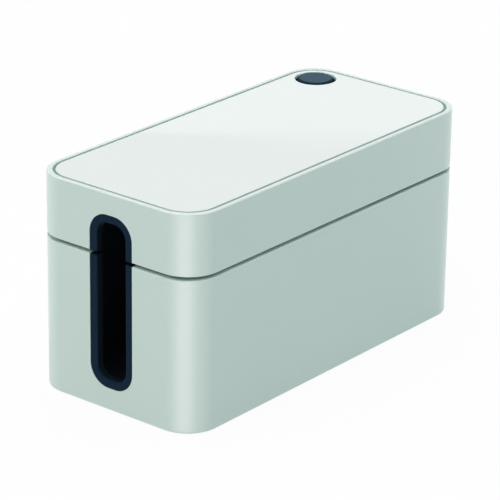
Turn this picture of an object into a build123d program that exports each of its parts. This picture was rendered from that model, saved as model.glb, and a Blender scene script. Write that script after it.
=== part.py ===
from build123d import *

import os
from math import cos, radians, sin

# A lidded box that hides a power strip and its leads. Millimetres, +Z up, X along the length.
# The origin is the middle of the footprint, on the surface that the feet stand on.
# "Setback" is a distance measured inwards from the box's outer face.

# ---------------------------------------------------------------- whole box
box_length = 246.0
box_width = 116.0
box_height = 128.0
corner_radius = 20.0
least_radius = 0.5

# ---------------------------------------------------------------- base tub
wall = 2.5
floor_thickness = 2.5
base_bottom_radius = 0.9
seam_height = 90.2
seam_gap = 2.2
seam_edge_radius = 0.35

# ---------------------------------------------------------------- neck that locates the lid
neck_setback = 3.0
neck_thickness = 2.0
neck_rise = 7.8
neck_root = 6.2
lid_clearance = 0.3

# ---------------------------------------------------------------- lid and the ribs it rests on
lid_top_radius = 0.8
rim_width = 2.7
rim_corner_radius = 19.0
rim_inner_radius = 0.25
deck_thickness = 2.4
stop_rib_thickness = 2.0
stop_rib_overhang = 1.2
side_rib_inset = 68.0
end_rib_gap = 8.0

# ---------------------------------------------------------------- inlaid panel and its posts
groove_width = 1.7
panel_thickness = 2.0
panel_edge_radius = 0.3
post_radius = 1.75
post_clearance = 0.15
post_head_overlap = 1.1
post_head_height = 1.4
post_inset_x = 48.0
post_inset_y = 19.0

# ---------------------------------------------------------------- cable slots and their liners
slot_width = 30.3
slot_radius = 12.5
slot_sill = 13.3
slot_head = 12.4
liner_fit = 0.15
liner_face_width = 4.85
liner_inner_radius = 7.7
liner_reach = 1.0
liner_lip_radius = 1.1
liner_edge_radius = 0.3
flange_width = 5.0
flange_thickness = 1.5
flange_clearance = 0.4
stake_radius = 0.9
stake_clearance = 0.1
stake_head_overlap = 0.7
stake_head_height = 0.7
stake_inset = 7.0
stake_arch_angle = 55.0

# ---------------------------------------------------------------- port in the lid and its plug
port_radius = 12.4
port_inset = 20.0
port_depth = 6.0
port_seat_width = 3.0
port_seat_thickness = 2.4
port_boss_wall = 2.2
plug_moat = 1.8
plug_proud = 0.5
plug_flange_thickness = 1.5
plug_clearance = 0.3
plug_skirt_below = 1.0
plug_skirt_wall = 1.6
plug_top_thickness = 2.5
plug_edge_radius = 1.2

# ---------------------------------------------------------------- rubber feet
foot_radius = 6.0
foot_proud = 0.5
foot_recess = 1.0
foot_fit = 0.1
foot_inset = 22.0
foot_edge_radius = 0.4

# ---------------------------------------------------------------- places worked out from the sizes
end_x = box_length / 2
side_y = box_width / 2
floor_top = foot_proud + floor_thickness
neck_top = seam_height + neck_rise
neck_foot = seam_height - neck_root
neck_inner = neck_setback + neck_thickness
skirt_bottom = seam_height + seam_gap
skirt_wall = neck_setback - lid_clearance
deck_top = box_height - panel_thickness
deck_bottom = deck_top - deck_thickness
panel_setback = rim_width + groove_width
panel_corner_radius = max(rim_corner_radius - groove_width, least_radius)
slot_bottom = foot_proud + slot_sill
slot_top = box_height - slot_head
liner_depth = wall + flange_thickness + liner_reach
lower_flange_top = neck_foot - flange_clearance
upper_flange_bottom = neck_top + flange_clearance
port_x = end_x - port_inset
port_y = side_y - port_inset
port_bore_radius = port_radius - port_seat_width
port_seat_top = box_height - port_depth
port_seat_bottom = port_seat_top - port_seat_thickness
foot_x = end_x - foot_inset
foot_y = side_y - foot_inset

# Left is the -X end and front is the -Y side.
ends = {"left": -1, "right": 1}
sides = {"front": -1, "back": 1}


def box_outline(setback, radius=None):
    """The box's outline in plan, moved inwards by setback, with its own corner radius or a given one."""
    if radius is None:
        radius = max(corner_radius - setback, least_radius)
    RectangleRounded(box_length - 2 * setback, box_width - 2 * setback, radius)


def slot_outline(growth, radius):
    """The outline of a cable slot, grown by growth all round, on a plane whose Y is the height."""
    width = slot_width + 2 * growth
    height = slot_top - slot_bottom + 2 * growth
    with Locations((0, (slot_bottom + slot_top) / 2)):
        RectangleRounded(width, height, radius)


def end_plane(end, setback):
    """An upright plane set back from one end face, facing into the box, with its Y upwards."""
    origin = (end * (end_x - setback), 0, 0)
    return Plane(origin=origin, x_dir=(0, -end, 0), z_dir=(-end, 0, 0))


def stake_places(lower):
    """Where the stakes hold one half of a slot's liner: offset across the slot, and height."""
    if lower:
        across = (slot_width + flange_width) / 2
        heights = (slot_bottom + slot_radius, lower_flange_top - stake_inset)
        return [(side * across, height) for height in heights for side in (-1, 1)]
    # The upper half is staked at the crown of the slot and on the bends either side of it.
    bend_radius = slot_radius + flange_width / 2
    angle = radians(stake_arch_angle)
    across = slot_width / 2 - slot_radius + bend_radius * cos(angle)
    height = slot_top - slot_radius + bend_radius * sin(angle)
    return [(-across, height), (across, height), (0, slot_top + flange_width / 2)]


def cut_slots():
    """Cuts the cable slots through both ends of the shell that is being built."""
    with BuildSketch(Plane.YZ) as slot:
        slot_outline(liner_fit, slot_radius + liner_fit)
    extrude(slot.sketch, amount=box_length, both=True, mode=Mode.SUBTRACT)


def add_stakes(setback, lower):
    """Adds the headed stakes that hold the liners to the end walls' inner faces."""
    for end in ends.values():
        with BuildSketch(end_plane(end, setback)) as shanks:
            with Locations(*stake_places(lower)):
                Circle(stake_radius)
        extrude(shanks.sketch, amount=flange_thickness)
        with BuildSketch(end_plane(end, setback + flange_thickness)) as heads:
            with Locations(*stake_places(lower)):
                Circle(stake_radius + stake_head_overlap)
        extrude(heads.sketch, amount=stake_head_height)


# ---------------------------------------------------------------- base shell
def make_base_shell():
    """The moulded tub: floor, wall, locating neck, slots, stakes and foot recesses."""
    with BuildPart() as base_shell:
        with BuildSketch(Plane.XY.offset(foot_proud)):
            box_outline(0)
        extrude(amount=seam_height - foot_proud)
        fillet(base_shell.faces().sort_by(Axis.Z)[0].edges(), base_bottom_radius)
        fillet(base_shell.faces().sort_by(Axis.Z)[-1].edges(), seam_edge_radius)

        with BuildSketch(Plane.XY.offset(seam_height)):
            box_outline(neck_setback)
        extrude(amount=neck_rise)
        with BuildSketch(Plane.XY.offset(floor_top)):
            box_outline(wall)
        extrude(amount=neck_foot - floor_top, mode=Mode.SUBTRACT)
        with BuildSketch(Plane.XY.offset(neck_foot)):
            box_outline(neck_inner)
        extrude(amount=neck_top - neck_foot, mode=Mode.SUBTRACT)

        cut_slots()
        # The neck stands clear of the upper liners, which pass down beside it.
        with BuildSketch(Plane.YZ):
            with Locations((0, seam_height + neck_rise / 2)):
                Rectangle(slot_width + 2 * lid_clearance, neck_rise)
        extrude(amount=box_length, both=True, mode=Mode.SUBTRACT)
        add_stakes(wall, lower=True)

        with BuildSketch(Plane.XY.offset(foot_proud)):
            with GridLocations(2 * foot_x, 2 * foot_y, 2, 2):
                Circle(foot_radius + foot_fit)
        extrude(amount=foot_recess, mode=Mode.SUBTRACT)
    return base_shell


# ---------------------------------------------------------------- lid shell
def make_lid_shell():
    """The moulded lid: skirt, rim, deck under the panel, stop ribs, port pocket and stakes."""
    with BuildPart() as lid_shell:
        with BuildSketch(Plane.XY.offset(skirt_bottom)):
            box_outline(0)
        extrude(amount=box_height - skirt_bottom)
        top_radius = min(lid_top_radius, rim_width / 2)
        fillet(lid_shell.faces().sort_by(Axis.Z)[0].edges(), seam_edge_radius)
        fillet(lid_shell.faces().sort_by(Axis.Z)[-1].edges(), top_radius)

        with BuildSketch(Plane.XY.offset(deck_top)):
            box_outline(rim_width, rim_corner_radius)
        extrude(amount=panel_thickness, mode=Mode.SUBTRACT)
        rim_top = lid_shell.faces().sort_by(Axis.Z)[-1]
        fillet(rim_top.inner_wires()[0].edges(), rim_inner_radius)

        with BuildSketch(Plane.XY.offset(skirt_bottom)):
            box_outline(skirt_wall)
        extrude(amount=deck_bottom - skirt_bottom, mode=Mode.SUBTRACT)
        add_stop_ribs()
        cut_slots()
        add_stakes(skirt_wall, lower=False)
        add_port_pocket()

        with BuildSketch(Plane.XY.offset(deck_bottom)):
            with GridLocations(*post_grid()):
                Circle(post_radius + post_clearance)
        extrude(amount=deck_thickness, mode=Mode.SUBTRACT)
    return lid_shell


def add_stop_ribs():
    """Adds the upright ribs inside the skirt whose feet rest on top of the neck."""
    depth = neck_inner + stop_rib_overhang - skirt_wall / 2
    middle = skirt_wall / 2 + depth / 2
    across = slot_width / 2 + flange_width + end_rib_gap
    with BuildSketch(Plane.XY.offset(neck_top)) as ribs:
        with GridLocations(2 * (end_x - side_rib_inset), 2 * (side_y - middle), 2, 2):
            Rectangle(stop_rib_thickness, depth)
        with GridLocations(2 * (end_x - middle), 2 * across, 2, 2):
            Rectangle(depth, stop_rib_thickness)
    extrude(ribs.sketch, amount=deck_bottom - neck_top)


def add_port_pocket():
    """Adds the round boss under the deck and cuts the port's pocket, seat and bore in it."""
    with BuildSketch(Plane.XY.offset(port_seat_bottom)) as boss:
        with Locations((port_x, port_y)):
            Circle(port_radius + port_boss_wall)
    extrude(boss.sketch, amount=deck_top - port_seat_bottom)
    with BuildSketch(Plane.XY.offset(port_seat_top)) as pocket:
        with Locations((port_x, port_y)):
            Circle(port_radius)
    extrude(pocket.sketch, amount=port_depth, mode=Mode.SUBTRACT)
    with BuildSketch(Plane.XY.offset(port_seat_bottom)) as bore:
        with Locations((port_x, port_y)):
            Circle(port_bore_radius)
    extrude(bore.sketch, amount=port_seat_thickness, mode=Mode.SUBTRACT)


# ---------------------------------------------------------------- lid panel
def post_grid():
    """The grid of the panel's posts: spacings and counts along X and Y."""
    columns = 3
    rows = 2
    return end_x - post_inset_x, 2 * (side_y - post_inset_y), columns, rows


def make_lid_panel():
    """The glossy inlay: a plate with the port's hole and six headed posts through the deck."""
    with BuildPart() as lid_panel:
        with BuildSketch(Plane.XY.offset(deck_top)):
            box_outline(panel_setback, panel_corner_radius)
        extrude(amount=panel_thickness)
        with BuildSketch(Plane.XY.offset(deck_top)):
            with Locations((port_x, port_y)):
                Circle(port_radius)
        extrude(amount=panel_thickness, mode=Mode.SUBTRACT)
        fillet(lid_panel.faces().sort_by(Axis.Z)[-1].edges(), panel_edge_radius)

        with BuildSketch(Plane.XY.offset(deck_bottom)):
            with GridLocations(*post_grid()):
                Circle(post_radius)
        extrude(amount=deck_thickness)
        with BuildSketch(Plane.XY.offset(deck_bottom - post_head_height)):
            with GridLocations(*post_grid()):
                Circle(post_radius + post_head_overlap)
        extrude(amount=post_head_height)
    return lid_panel


# ---------------------------------------------------------------- slot liners
def make_slot_liner(end, lower):
    """Half of a soft-edged slot frame: a sleeve through the wall and a flange behind it."""
    if lower:
        kept, face_limit, flange_limit, wall_here = Keep.BOTTOM, seam_height, lower_flange_top, wall
    else:
        kept, face_limit, flange_limit, wall_here = Keep.TOP, skirt_bottom, upper_flange_bottom, skirt_wall
    with BuildPart() as slot_liner:
        with BuildSketch(end_plane(end, wall_here)):
            slot_outline(flange_width, slot_radius + flange_width)
        extrude(amount=flange_thickness)
        split(bisect_by=Plane.XY.offset(flange_limit), keep=kept)

        with BuildSketch(end_plane(end, 0)):
            slot_outline(0, slot_radius)
        extrude(amount=liner_depth)
        with BuildSketch(end_plane(end, 0)):
            slot_outline(-liner_face_width, liner_inner_radius)
        extrude(amount=liner_depth, mode=Mode.SUBTRACT)
        front = slot_liner.faces().sort_by(Axis.X, reverse=end > 0)[0]
        fillet(front.inner_wires()[0].edges(), liner_lip_radius)
        front = slot_liner.faces().sort_by(Axis.X, reverse=end > 0)[0]
        fillet(front.outer_wire().edges(), liner_edge_radius)
        split(bisect_by=Plane.XY.offset(face_limit), keep=kept)

        with BuildSketch(end_plane(end, wall_here)):
            with Locations(*stake_places(lower)):
                Circle(stake_radius + stake_clearance)
        extrude(amount=flange_thickness, mode=Mode.SUBTRACT)
    return slot_liner


# ---------------------------------------------------------------- port plug
def make_port_plug():
    """The soft plug: a round head in a narrow moat, a flange on the seat and a hollow skirt."""
    head_radius = port_radius - plug_moat
    flange_radius = port_radius - plug_clearance
    skirt_radius = port_bore_radius - plug_clearance
    head_top = box_height + plug_proud
    flange_top = port_seat_top + plug_flange_thickness
    skirt_bottom_height = port_seat_bottom - plug_skirt_below
    port_plane = Plane(origin=(port_x, port_y, 0), x_dir=(1, 0, 0), z_dir=(0, -1, 0))
    with BuildPart() as port_plug:
        with BuildSketch(port_plane):
            with BuildLine():
                Polyline(
                    (0, head_top),
                    (head_radius, head_top),
                    (head_radius, flange_top),
                    (flange_radius, flange_top),
                    (flange_radius, port_seat_top),
                    (skirt_radius, port_seat_top),
                    (skirt_radius, skirt_bottom_height),
                    (skirt_radius - plug_skirt_wall, skirt_bottom_height),
                    (skirt_radius - plug_skirt_wall, head_top - plug_top_thickness),
                    (0, head_top - plug_top_thickness),
                    close=True,
                )
            make_face()
        revolve(axis=Axis((port_x, port_y, 0), (0, 0, 1)))
        fillet(port_plug.faces().sort_by(Axis.Z)[-1].edges(), plug_edge_radius)
    return port_plug


# ---------------------------------------------------------------- rubber feet
def make_rubber_foot(end, side):
    """A round rubber foot, set in its recess and standing proud of the underside."""
    with BuildPart() as rubber_foot:
        with BuildSketch(Plane(origin=(end * foot_x, side * foot_y, 0))):
            Circle(foot_radius)
        extrude(amount=foot_proud + foot_recess)
        fillet(rubber_foot.faces().sort_by(Axis.Z)[0].edges(), foot_edge_radius)
    return rubber_foot


# ---------------------------------------------------------------- writing the pieces
def save(piece, name):
    """Labels a finished piece and writes it to its own file."""
    piece.part.label = name
    export_step(piece.part, f"parts/{name}.step")


os.makedirs("parts", exist_ok=True)
save(make_base_shell(), "base_shell")
save(make_lid_shell(), "lid_shell")
save(make_lid_panel(), "lid_panel")
save(make_port_plug(), "port_plug")
for end_name, end in ends.items():
    save(make_slot_liner(end, lower=True), f"slot_liner_lower_{end_name}")
    save(make_slot_liner(end, lower=False), f"slot_liner_upper_{end_name}")
    for side_name, side in sides.items():
        save(make_rubber_foot(end, side), f"rubber_foot_{side_name}_{end_name}")
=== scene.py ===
import math

import bpy
from mathutils import Matrix, Vector


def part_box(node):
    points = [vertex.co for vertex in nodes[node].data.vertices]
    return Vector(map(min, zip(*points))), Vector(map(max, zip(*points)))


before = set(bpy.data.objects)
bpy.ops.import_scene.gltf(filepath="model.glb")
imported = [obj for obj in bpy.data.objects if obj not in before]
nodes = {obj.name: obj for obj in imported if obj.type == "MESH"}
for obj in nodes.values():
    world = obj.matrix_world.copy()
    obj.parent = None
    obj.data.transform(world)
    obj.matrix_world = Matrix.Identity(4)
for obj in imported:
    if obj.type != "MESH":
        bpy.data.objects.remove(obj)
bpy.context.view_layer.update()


# ---- Base shell -------------------------------------------------------------------------------
# The tub that the power strip lies in: one injection moulding in pale grey-green ABS, 2.5 mm thick,
# with a satin, spark-eroded grain outside. Its inside is coloured matt charcoal as painted shade for
# the dark inside of the closed box, so that the slots read as dark openings. A recessed neck round its
# mouth locates the lid; its outer face is coloured mid grey as painted shade for the seam under the lid.

mm = 0.001
base_low, base_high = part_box("base_shell")
box_half_length = base_high.x
box_half_width = base_high.y
corner_radius = 20 * mm
base_wall = 2.5 * mm
neck_inner = 5.0 * mm
seam_height = 90.2 * mm
# The outer satin takes in the rounded lower edge and the recesses for the feet, up to this height.
lower_edge = 1.2 * mm
# Places that are less than this apart count as the same.
hair = 0.05 * mm


def linear(hex_colour):
    """An sRGB hex colour as the linear RGBA that the shaders use."""
    channels = [int(hex_colour[at:at + 2], 16) / 255 for at in (0, 2, 4)]
    return [c / 12.92 if c <= 0.04045 else ((c + 0.055) / 1.055) ** 2.4 for c in channels] + [1.0]


def add_node(tree, kind, sockets=None, **settings):
    """Adds a shader node, sets its options, and fills its sockets with values or other outputs."""
    node = tree.nodes.new(kind)
    for name, value in settings.items():
        setattr(node, name, value)
    for socket, value in (sockets or {}).items():
        if isinstance(value, bpy.types.NodeSocket):
            tree.links.new(value, node.inputs[socket])
        else:
            node.inputs[socket].default_value = value
    return node


def start_material(name):
    """An empty node material, its tree, and the coordinates of the piece in metres."""
    material = bpy.data.materials.new(name)
    material.use_nodes = True
    tree = material.node_tree
    tree.nodes.clear()
    return material, tree, add_node(tree, "ShaderNodeTexCoord").outputs["Object"]


def add_shader(tree, sockets):
    """The material's surface: one principled shader joined to the output."""
    shader = add_node(tree, "ShaderNodeBsdfPrincipled", sockets)
    add_node(tree, "ShaderNodeOutputMaterial", {"Surface": shader.outputs["BSDF"]})


def satin_abs(name, rubbed_height, gate_hex, far_hex, translucence=None):
    """Spark-eroded ABS: soft even sheen, a fine grain, and an edge rubbed smooth at one height."""
    material, tree, place = start_material(name)
    # The pigment drifts by a trace between the gate and the far end of the moulding.
    flow = add_node(tree, "ShaderNodeTexNoise", {"Vector": place, "Scale": 1 / (45 * mm), "Detail": 2.0})
    colour = add_node(tree, "ShaderNodeMix", {
        0: flow.outputs["Fac"], 6: linear(gate_hex), 7: linear(far_hex),
    }, data_type="RGBA")
    # Real grain is about 0.1 mm. It is drawn at 0.35 mm so that it still breaks up the sheen.
    grain = add_node(tree, "ShaderNodeTexNoise", {
        "Vector": place, "Scale": 1 / (0.35 * mm), "Detail": 3.0,
    })
    bump = add_node(tree, "ShaderNodeBump", {
        "Height": grain.outputs["Fac"], "Strength": 0.12, "Distance": 0.03 * mm,
    })
    # Handling polishes the grain in a ragged band up to a few millimetres wide along one edge.
    height = add_node(tree, "ShaderNodeSeparateXYZ", {"Vector": place}).outputs["Z"]
    away = add_node(tree, "ShaderNodeMath", {0: height, 1: rubbed_height}, operation="SUBTRACT")
    away = add_node(tree, "ShaderNodeMath", {0: away.outputs[0]}, operation="ABSOLUTE")
    patches = add_node(tree, "ShaderNodeTexNoise", {"Vector": place, "Scale": 1 / (6 * mm), "Detail": 4.0})
    ragged = add_node(tree, "ShaderNodeMath", {0: patches.outputs["Fac"], 1: 5 * mm}, operation="MULTIPLY")
    rubbed = add_node(tree, "ShaderNodeMapRange", {
        "Value": away.outputs[0], "From Min": 0.0, "From Max": ragged.outputs[0],
        "To Min": 0.27, "To Max": 0.33,
    })
    add_shader(tree, {
        "Base Color": colour.outputs[2], "Roughness": rubbed.outputs["Result"], "IOR": 1.52,
        "Normal": bump.outputs["Normal"], **(translucence or {}),
    })
    return material


def matt_abs(name, deep_hex, dusty_hex):
    """ABS with no sheen at all: dead matt, with a dusty, slightly uneven tone."""
    material, tree, place = start_material(name)
    dust = add_node(tree, "ShaderNodeTexNoise", {"Vector": place, "Scale": 1 / (12 * mm), "Detail": 5.0})
    colour = add_node(tree, "ShaderNodeMix", {
        0: dust.outputs["Fac"], 6: linear(deep_hex), 7: linear(dusty_hex),
    }, data_type="RGBA")
    # A coarser grain, 0.4 mm, that scatters what light there is.
    grain = add_node(tree, "ShaderNodeTexNoise", {"Vector": place, "Scale": 1 / (0.4 * mm)})
    bump = add_node(tree, "ShaderNodeBump", {
        "Height": grain.outputs["Fac"], "Strength": 0.2, "Distance": 0.03 * mm,
    })
    add_shader(tree, {
        "Base Color": colour.outputs[2], "Roughness": 0.9, "Specular IOR Level": 0.0,
        "Normal": bump.outputs["Normal"],
    })
    return material


def setback(point):
    """How far a point lies inside the box's outer wall, in plan."""
    dx = abs(point.x) - (box_half_length - corner_radius)
    dy = abs(point.y) - (box_half_width - corner_radius)
    if dx > 0 and dy > 0:
        return corner_radius - math.hypot(dx, dy)
    return corner_radius - max(dx, dy)


def finish_by_face(piece, finishes, pick):
    """Gives a piece its finishes, and each of its faces the one whose number pick returns."""
    piece.data.materials.clear()
    for finish in finishes:
        piece.data.materials.append(finish)
    for face in piece.data.polygons:
        face.material_index = pick(face)


def pick_base_finish(face):
    """0 for the outer wall, 1 for the inside, 2 for the neck's outer face and top, 3 for the underside."""
    place = face.center
    if place.z < base_low.z + hair:
        return 3
    if place.z < base_low.z + lower_edge or setback(place) < base_wall - hair:
        return 0
    on_neck = place.z > seam_height + hair and setback(place) < neck_inner - hair
    return 2 if on_neck else 1


satin_base = satin_abs("satin_abs_base", base_low.z, "CBDFD8", "C8DDD6")
# Painted shade: the inside is coloured dark charcoal for the shade inside the closed box.
inside_painted_shade = matt_abs("matt_charcoal_abs_inside_painted_shade", "363C46", "3E444E")
# Painted shade: the neck, which shows in the shadow gap under the lid, is coloured mid grey for that shade.
neck_painted_shade = matt_abs("matt_grey_abs_neck_painted_shade", "808D89", "84918D")
# The underside's grain is eroded coarser, so that it has no sheen and its scuffs don't show.
matt_underside = matt_abs("matt_abs_underside", "C1D5CE", "C7DAD3")
base_finishes = [satin_base, inside_painted_shade, neck_painted_shade, matt_underside]
finish_by_face(nodes["base_shell"], base_finishes, pick_base_finish)


# ---- Slot liners ------------------------------------------------------------------------------
# Soft frames that keep the cables off the cut edges of the slots: navy TPE, one half in the base
# and one in the lid at each end, staked to the inside of the end wall. Matt, with a dry, fine grain.

def matt_tpe(name, deep_hex, bloom_hex, sheen):
    """Soft TPE: a low, dry sheen, with a faint paler bloom where the surface has been touched."""
    material, tree, place = start_material(name)
    bloom = add_node(tree, "ShaderNodeTexNoise", {"Vector": place, "Scale": 1 / (9 * mm), "Detail": 6.0})
    colour = add_node(tree, "ShaderNodeMix", {
        0: bloom.outputs["Fac"], 6: linear(deep_hex), 7: linear(bloom_hex),
    }, data_type="RGBA")
    dryness = add_node(tree, "ShaderNodeMapRange", {
        "Value": bloom.outputs["Fac"], "To Min": 0.5, "To Max": 0.62,
    })
    # The mould's grain is about 0.15 mm, drawn at 0.3 mm so that it shows.
    grain = add_node(tree, "ShaderNodeTexNoise", {
        "Vector": place, "Scale": 1 / (0.3 * mm), "Detail": 2.0,
    })
    bump = add_node(tree, "ShaderNodeBump", {
        "Height": grain.outputs["Fac"], "Strength": 0.25, "Distance": 0.03 * mm,
    })
    add_shader(tree, {
        "Base Color": colour.outputs[2], "Roughness": dryness.outputs["Result"], "IOR": 1.48,
        "Specular IOR Level": sheen, "Normal": bump.outputs["Normal"],
    })
    return material


front_depth = 1.5 * mm


def pick_liner_finish(face):
    """0 for the frame's front face and its rounding, 1 for all that lies deeper in the wall."""
    return 0 if abs(face.center.x) >= box_half_length - front_depth else 1


navy_tpe = matt_tpe("matt_tpe_navy", "092031", "0C2437", 0.07)
# Painted shade: behind its front face the frame is coloured a darker, near-black navy for the shade inside
# the slot.
tpe_painted_shade = matt_tpe("matt_tpe_navy_painted_shade", "101A20", "141F25", 0.05)
for end in ("left", "right"):
    for half in ("lower", "upper"):
        liner = nodes[f"slot_liner_{half}_{end}"]
        finish_by_face(liner, [navy_tpe, tpe_painted_shade], pick_liner_finish)


# ---- Rubber feet ------------------------------------------------------------------------------
# Four round feet of black rubber in shallow recesses of the underside. They grip the desk, and are
# scuffed grey in patches all over.

def scuffed_rubber(name):
    """Black rubber: nearly no sheen, with grey scuffs in short strokes."""
    material, tree, place = start_material(name)
    scuff = add_node(tree, "ShaderNodeTexNoise", {
        "Vector": place, "Scale": 1 / (2.5 * mm), "Detail": 8.0,
    })
    worn = add_node(tree, "ShaderNodeMapRange", {
        "Value": scuff.outputs["Fac"], "From Min": 0.5, "From Max": 0.75,
    })
    colour = add_node(tree, "ShaderNodeMix", {
        0: worn.outputs["Result"], 6: linear("1B1D1F"), 7: linear("3C3F41"),
    }, data_type="RGBA")
    bump = add_node(tree, "ShaderNodeBump", {
        "Height": scuff.outputs["Fac"], "Strength": 0.3, "Distance": 0.05 * mm,
    })
    add_shader(tree, {
        "Base Color": colour.outputs[2], "Roughness": 0.75, "IOR": 1.52,
        "Normal": bump.outputs["Normal"],
    })
    return material


foot_rubber = scuffed_rubber("scuffed_black_rubber")
for name, foot in nodes.items():
    if name.startswith("rubber_foot"):
        foot.data.materials.clear()
        foot.data.materials.append(foot_rubber)


# ---- Lid shell --------------------------------------------------------------------------------
# The lid's moulding, in the same satin ABS as the base: a skirt that drops over the neck, a narrow
# rim round the top, a deck that the panel is let into, and a round pocket that the port's plug sits
# in. Fingers polish its lower edge.

lid_low, lid_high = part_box("lid_shell")
panel_low, panel_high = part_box("lid_panel")
port_low, port_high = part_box("port_plug")
skirt_wall = 2.7 * mm
panel_thickness = 2.0 * mm
deck_thickness = 2.4 * mm
deck_top = lid_high.z - panel_thickness
deck_bottom = deck_top - deck_thickness
# The rim's top, painted paler as lit from above, takes in the upper half of its rounded edges, down
# to this depth.
rim_edge = 0.5 * mm
port_axis = (port_low + port_high) / 2
port_radius = 12.4 * mm


def from_port_axis(point):
    """How far a point lies from the axis of the port."""
    return math.hypot(point.x - port_axis.x, point.y - port_axis.y)


def pick_lid_finish(face):
    """0 for the skirt, 1 for the inner side and the pocket, 2 for the rim's top, 3 for the deck's top."""
    place = face.center
    faces_up = face.normal.z > 0.5
    if from_port_axis(place) < port_radius + hair:
        return 1
    if place.z < deck_bottom + 2 * hair and setback(place) > skirt_wall - hair:
        return 1
    if faces_up and abs(place.z - deck_top) < hair:
        return 3
    return 2 if faces_up and place.z > lid_high.z - rim_edge else 0


satin_lid = satin_abs("satin_abs_lid", lid_low.z, "CBDFD8", "C8DDD6")
# Painted light: the top of the rim is coloured a little paler, as light from above falls on it.
satin_rim_painted_light = satin_abs("satin_abs_rim_painted_light", lid_high.z, "D9E4DE", "D7E2DB")
# Painted shade: the deck's top, bare at the bottom of the groove round the panel, is coloured a darker,
# dead-matt grey for the groove's shade.
deck_painted_shade = matt_abs("matt_abs_deck_painted_shade", "9BB0AC", "A3B8B3")
# The lid's inside and its port pocket take the same charcoal of painted shade.
lid_finishes = [satin_lid, inside_painted_shade, satin_rim_painted_light, deck_painted_shade]
finish_by_face(nodes["lid_shell"], lid_finishes, pick_lid_finish)


# ---- Lid panel --------------------------------------------------------------------------------
# A 2 mm plate of near-white ABS from a polished mould, laid in the lid and staked through its deck.
# It mirrors the studio softly, with the slight ripple and hairline scratches of a polished moulding.

def polished_abs(name):
    """Polished ABS: a clear, slightly rippled gloss with wiping scratches and smudges."""
    material, tree, place = start_material(name)
    flow = add_node(tree, "ShaderNodeTexNoise", {"Vector": place, "Scale": 1 / (60 * mm), "Detail": 2.0})
    colour = add_node(tree, "ShaderNodeMix", {
        0: flow.outputs["Fac"], 6: linear("E3E9E5"), 7: linear("E0E7E2"),
    }, data_type="RGBA")
    smudge = add_node(tree, "ShaderNodeTexNoise", {"Vector": place, "Scale": 1 / (22 * mm), "Detail": 5.0})
    gloss = add_node(tree, "ShaderNodeMapRange", {
        "Value": smudge.outputs["Fac"], "From Min": 0.35, "From Max": 0.75, "To Min": 0.01, "To Max": 0.03,
    })
    # Moulded gloss ripples over a few millimetres; its hairlines run along the length of the lid.
    ripple = add_node(tree, "ShaderNodeTexNoise", {"Vector": place, "Scale": 1 / (4 * mm)})
    drawn_out = add_node(tree, "ShaderNodeMapping", {
        "Vector": place, "Scale": (0.02, 1.0, 1.0), "Rotation": (0, 0, 0.1),
    })
    hairs = add_node(tree, "ShaderNodeTexNoise", {
        "Vector": drawn_out.outputs[0], "Scale": 1 / (0.5 * mm),
    })
    hairs = add_node(tree, "ShaderNodeMapRange", {
        "Value": hairs.outputs["Fac"], "From Min": 0.66, "From Max": 0.72,
    })
    rippled = add_node(tree, "ShaderNodeBump", {
        "Height": ripple.outputs["Fac"], "Strength": 0.15, "Distance": 0.004 * mm,
    })
    scratched = add_node(tree, "ShaderNodeBump", {
        "Height": hairs.outputs["Result"], "Strength": 0.15, "Distance": 0.002 * mm,
        "Normal": rippled.outputs["Normal"],
    }, invert=True)
    add_shader(tree, {
        "Base Color": colour.outputs[2], "Roughness": gloss.outputs["Result"], "IOR": 1.52,
        "Normal": scratched.outputs["Normal"],
    })
    return material


panel_edge_radius = 0.3 * mm
# A face that lies flat has a normal whose upward part is larger than this.
flat = 0.95


def pick_panel_finish(face):
    """0 for the polished top, 1 for the wall and edge of the port's hole, 2 for the sides and below."""
    if from_port_axis(face.center) < port_radius + panel_edge_radius and face.normal.z < flat:
        return 1
    return 2 if face.center.z < panel_high.z - panel_edge_radius else 0


polished_top = polished_abs("polished_abs_panel")
# The mould's polish stops at the plate's top, and the hole's wall has the shells' satin. Its colour is
# paler and greener than the shells': painted light on a wall that lies in the moat's shade. White ABS
# is a little translucent: light that enters the top comes out of that wall.
port_wall_painted_light = satin_abs("satin_abs_port_painted_light", panel_low.z, "DBF2E9", "D8F0E7", {
    "Subsurface Weight": 1.0, "Subsurface Radius": (1.0, 1.0, 1.0), "Subsurface Scale": 2 * mm,
})
# The sides are as the mould's parting face left them: matt, and coloured greyer than the top as
# painted shade for the groove round the panel.
panel_sides_painted_shade = matt_abs("matt_abs_panel_sides_painted_shade", "C5D7D1", "CADCD5")
finish_by_face(nodes["lid_panel"], [polished_top, port_wall_painted_light, panel_sides_painted_shade], pick_panel_finish)


# ---- Port plug --------------------------------------------------------------------------------
# The plug that closes the lid's cable port: one soft TPE moulding in slate blue, with a flat head in
# a narrow moat, a flange that sits on the port's seat, and a hollow skirt below.

plug_edge_radius = 1.2 * mm
# All of the rounded edge lies deeper than this.
flat_depth = 0.02 * mm


def pick_plug_finish(face):
    """0 for the top, painted paler as lit from above, 1 for its rounded edge, painted darker as shade, 2 for
    all that lies in the moat and below, painted near-black as shade.
    """
    depth = port_high.z - face.center.z
    if depth < flat_depth:
        return 0
    return 1 if depth < plug_edge_radius else 2


# Painted light and shade on one slate TPE: the top is coloured paler, as lit from above, and the rounded edge
# darker, as in shade. The moat and below take the near-black of painted shade.
slate_tpe_painted_light = matt_tpe("matt_tpe_slate_painted_light", "264656", "2B4C5C", 0.22)
slate_edge_painted_shade = matt_tpe("matt_tpe_slate_edge_painted_shade", "102C3A", "13303F", 0.08)
finish_by_face(nodes["port_plug"], [slate_tpe_painted_light, slate_edge_painted_shade, tpe_painted_shade], pick_plug_finish)


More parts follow.
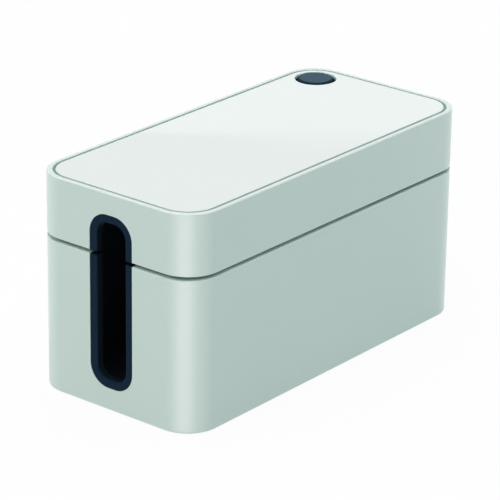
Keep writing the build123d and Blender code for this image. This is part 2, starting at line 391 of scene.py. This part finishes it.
# ---- Studio -----------------------------------------------------------------------------------
# A white table, lit a little from below, in a plain studio: white walls behind the object, dark ones
# on the camera's side, a soft light overhead, a side window, and three white cards that stand lower
# than the table's edge. All but the table is far away, so that it lights the whole object evenly.

def towards(azimuth, elevation):
    """The unit vector for an azimuth from +X and an elevation, both in degrees."""
    turn = math.radians(azimuth)
    tilt = math.radians(elevation)
    return Vector((math.cos(turn) * math.cos(tilt), math.sin(turn) * math.cos(tilt), math.sin(tilt)))


table_half = 6.0
# The table reaches further behind the object, which keeps the seam of its two triangles clear of it.
table_back = 9.0
# Its top is a hair lower than the feet, so that no two faces share a plane.
table_top = -hair
table_mesh = bpy.data.meshes.new("table")
table_mesh.from_pydata([
    (-table_half, -table_half, table_top), (table_half, -table_half, table_top),
    (table_half, table_back, table_top), (-table_half, table_back, table_top),
], [], [(0, 1, 2, 3)])
table = bpy.data.objects.new("table", table_mesh)
bpy.context.scene.collection.objects.link(table)
table_white, tree, place = start_material("white_laminate_table")
white = (1, 1, 1, 1)
laminate = add_node(tree, "ShaderNodeBsdfDiffuse", {"Color": linear("E7E8E8")})
# The camera sees the table as the white of the surround, with a trace of the object's shadow. The
# laminate is lit a little from below too, as a product table is.
seen_white = 0.93
back_lit = 0.45
path = add_node(tree, "ShaderNodeLightPath")
share = add_node(tree, "ShaderNodeMapRange", {
    "Value": path.outputs["Is Camera Ray"], "To Min": back_lit, "To Max": seen_white,
})
glow = add_node(tree, "ShaderNodeEmission", {"Color": white, "Strength": 1.0})
seen = add_node(tree, "ShaderNodeMixShader", {
    0: share.outputs[0], 1: laminate.outputs[0], 2: glow.outputs[0],
})
# Mirrored in the object, the table is bright behind it and clear in front of it, where the cards
# show instead. What all but touches the table mirrors the plain laminate.
touching = 4 * mm
dark_until = 12 * mm
bright_from = 32 * mm
mirrored = add_node(tree, "ShaderNodeMath", {
    0: path.outputs["Is Glossy Ray"], 1: path.outputs["Is Transmission Ray"],
}, operation="MAXIMUM")
distant = add_node(tree, "ShaderNodeMath", {
    0: path.outputs["Ray Length"], 1: touching,
}, operation="GREATER_THAN")
mirrored = add_node(tree, "ShaderNodeMath", {
    0: mirrored.outputs[0], 1: distant.outputs[0],
}, operation="MULTIPLY")
depth = add_node(tree, "ShaderNodeVectorMath", {0: place, 1: towards(51, 0)}, operation="DOT_PRODUCT")
lit_part = add_node(tree, "ShaderNodeMapRange", {
    "Value": depth.outputs["Value"], "From Min": dark_until, "From Max": bright_from,
}, interpolation_type="SMOOTHSTEP")
bright = add_node(tree, "ShaderNodeEmission", {"Color": white, "Strength": 1.2})
clear = add_node(tree, "ShaderNodeBsdfTransparent")
reflected = add_node(tree, "ShaderNodeMixShader", {
    0: lit_part.outputs["Result"], 1: clear.outputs[0], 2: bright.outputs[0],
})
top = add_node(tree, "ShaderNodeMixShader", {
    0: mirrored.outputs[0], 1: seen.outputs[0], 2: reflected.outputs[0],
})
# From below the table is clear, so that the feet and the underside can be seen.
underneath = add_node(tree, "ShaderNodeNewGeometry").outputs["Backfacing"]
sheet = add_node(tree, "ShaderNodeMixShader", {0: underneath, 1: top.outputs[0], 2: clear.outputs[0]})
add_node(tree, "ShaderNodeOutputMaterial", {"Surface": sheet.outputs[0]})
table_mesh.materials.append(table_white)

world = bpy.data.worlds.new("studio")
bpy.context.scene.world = world
world.use_nodes = True
# The table hides the lower half from the lamp rays, so the rays that leave the surfaces find the light.
world.cycles.sampling_method = "NONE"
tree = world.node_tree
tree.nodes.clear()
direction = add_node(tree, "ShaderNodeTexCoord").outputs["Generated"]


def soft_edge(axis, edge, blur):
    """A mask of the surround: a soft step from 0 to 1 where a direction's share of an axis passes an edge."""
    share = add_node(tree, "ShaderNodeVectorMath", {0: direction, 1: axis}, operation="DOT_PRODUCT")
    step = add_node(tree, "ShaderNodeMapRange", {
        "Value": share.outputs["Value"], "From Min": edge - blur / 2, "From Max": edge + blur / 2,
    }, interpolation_type="SMOOTHSTEP")
    return step.outputs["Result"]


def area(inside, outside=()):
    """The mask of the part of the surround that lies inside some masks and outside others."""
    mask = 1.0
    for part in inside:
        mask = add_node(tree, "ShaderNodeMath", {0: mask, 1: part}, operation="MULTIPLY").outputs[0]
    for part in outside:
        rest = add_node(tree, "ShaderNodeMath", {0: 1.0, 1: part}, operation="SUBTRACT").outputs[0]
        mask = add_node(tree, "ShaderNodeMath", {0: mask, 1: rest}, operation="MULTIPLY").outputs[0]
    return mask


up = Vector((0, 0, 1))
above_horizon = soft_edge(up, 0, 0.02)
behind = soft_edge(towards(47.5, 0), 0.13, 0.25)
# The edge between walls and ceiling leans a hair from level. The lid panel mirrors it: crisp over
# the slotted end, and faded out by a curtain further along.
edge_lean = math.radians(0.9)
edge_height = math.sin(math.radians(19.70))
along_wall = towards(-51, 0)
wall_top = up * math.cos(edge_lean) - along_wall * math.sin(edge_lean)
crisp = soft_edge(wall_top, edge_height, 0.001)
faded = soft_edge(wall_top, edge_height, 0.013)
curtain = soft_edge(along_wall, 0.007, 0.036)
ceiling = add_node(tree, "ShaderNodeMix", {0: curtain, 2: crisp, 3: faded}).outputs[0]
soft_light = soft_edge(up, math.cos(math.radians(38)), 0.15)
side_window = area([soft_edge(towards(175, 30), 0.55, 0.7), above_horizon])
# Each part of the studio with its strength, of which 1 is white.
lights = [
    (area([behind], [ceiling]), 0.90),
    (area([above_horizon], [behind, ceiling]), 0.05),
    (ceiling, 0.555),
    (soft_light, 1.25),
    (side_window, 0.325),
]
# Cards below the table's edge: azimuth, half width, blur of the edges, and strength. The table hides
# them from all but the sheen of the object's walls.
card_elevation = -20
card_half_height = math.sin(math.radians(22))
cards = []
for azimuth, half_width, blur, strength in ((211, 26, 0.6, 5.5), (268, 18, 0.5, 1.22), (165, 14, 0.4, 0.65)):
    facing = towards(azimuth, card_elevation)
    sideways = towards(azimuth + 90, 0)
    upwards = facing.cross(sideways)
    edges = [soft_edge(facing, 0, 0.01)]
    for axis, half_size in ((sideways, math.sin(math.radians(half_width))), (upwards, card_half_height)):
        edges += [soft_edge(axis, -half_size, blur), soft_edge(-axis, -half_size, blur)]
    card = area(edges, [above_horizon])
    cards.append(card)
    lights.append((card, strength))
brightness = 0.0
for mask, strength in lights:
    brightness = add_node(tree, "ShaderNodeMath", {
        0: mask, 1: strength, 2: brightness,
    }, operation="MULTIPLY_ADD").outputs[0]
# The room is a touch cooler on the side away from the window. The cards are tinted rose, so that
# their sheen on the green-grey walls reads as neutral.
warm = (1.04, 1, 0.99, 1)
cool = (0.925, 0.985, 1.03, 1)
rose = (1.25, 0.93, 1.0, 1)
cool_side = soft_edge(towards(315, 0), 0, 1.6)
tint = add_node(tree, "ShaderNodeMix", {0: cool_side, 6: warm, 7: cool}, data_type="RGBA")
for card in cards:
    tint = add_node(tree, "ShaderNodeMix", {0: card, 6: tint.outputs[2], 7: rose}, data_type="RGBA")
# The camera sees plain white instead.
seen_by_camera = add_node(tree, "ShaderNodeLightPath").outputs["Is Camera Ray"]
level = add_node(tree, "ShaderNodeMix", {0: seen_by_camera, 2: brightness, 3: 1.0})
hue = add_node(tree, "ShaderNodeMix", {
    0: seen_by_camera, 6: tint.outputs[2], 7: white,
}, data_type="RGBA")
surround = add_node(tree, "ShaderNodeBackground", {
    "Color": hue.outputs[2], "Strength": level.outputs[0],
})
add_node(tree, "ShaderNodeOutputWorld", {"Surface": surround.outputs[0]})


# ---- Camera -----------------------------------------------------------------------------------
# A full-frame camera with a long lens, well back from the object. It looks down on the slotted end
# and one long side, rolled by under a degree.

camera_back = towards(219.026, 21.98)
camera_roll = math.radians(0.787)
camera_distance = 1654.2 * mm
camera_aim = Vector((-2.96, 0.67, 59.34)) * mm
camera_data = bpy.data.cameras.new("camera")
camera_data.sensor_width = 36
camera_data.lens = 207.79
camera = bpy.data.objects.new("camera", camera_data)
upright = (-camera_back).to_track_quat("-Z", "Y").to_matrix()
camera.matrix_world = (
    Matrix.Translation(camera_aim + camera_back * camera_distance)
    @ (upright @ Matrix.Rotation(camera_roll, 3, "Z")).to_4x4()
)
bpy.context.scene.collection.objects.link(camera)
bpy.context.scene.camera = camera
bpy.context.scene.view_settings.view_transform = "Standard"
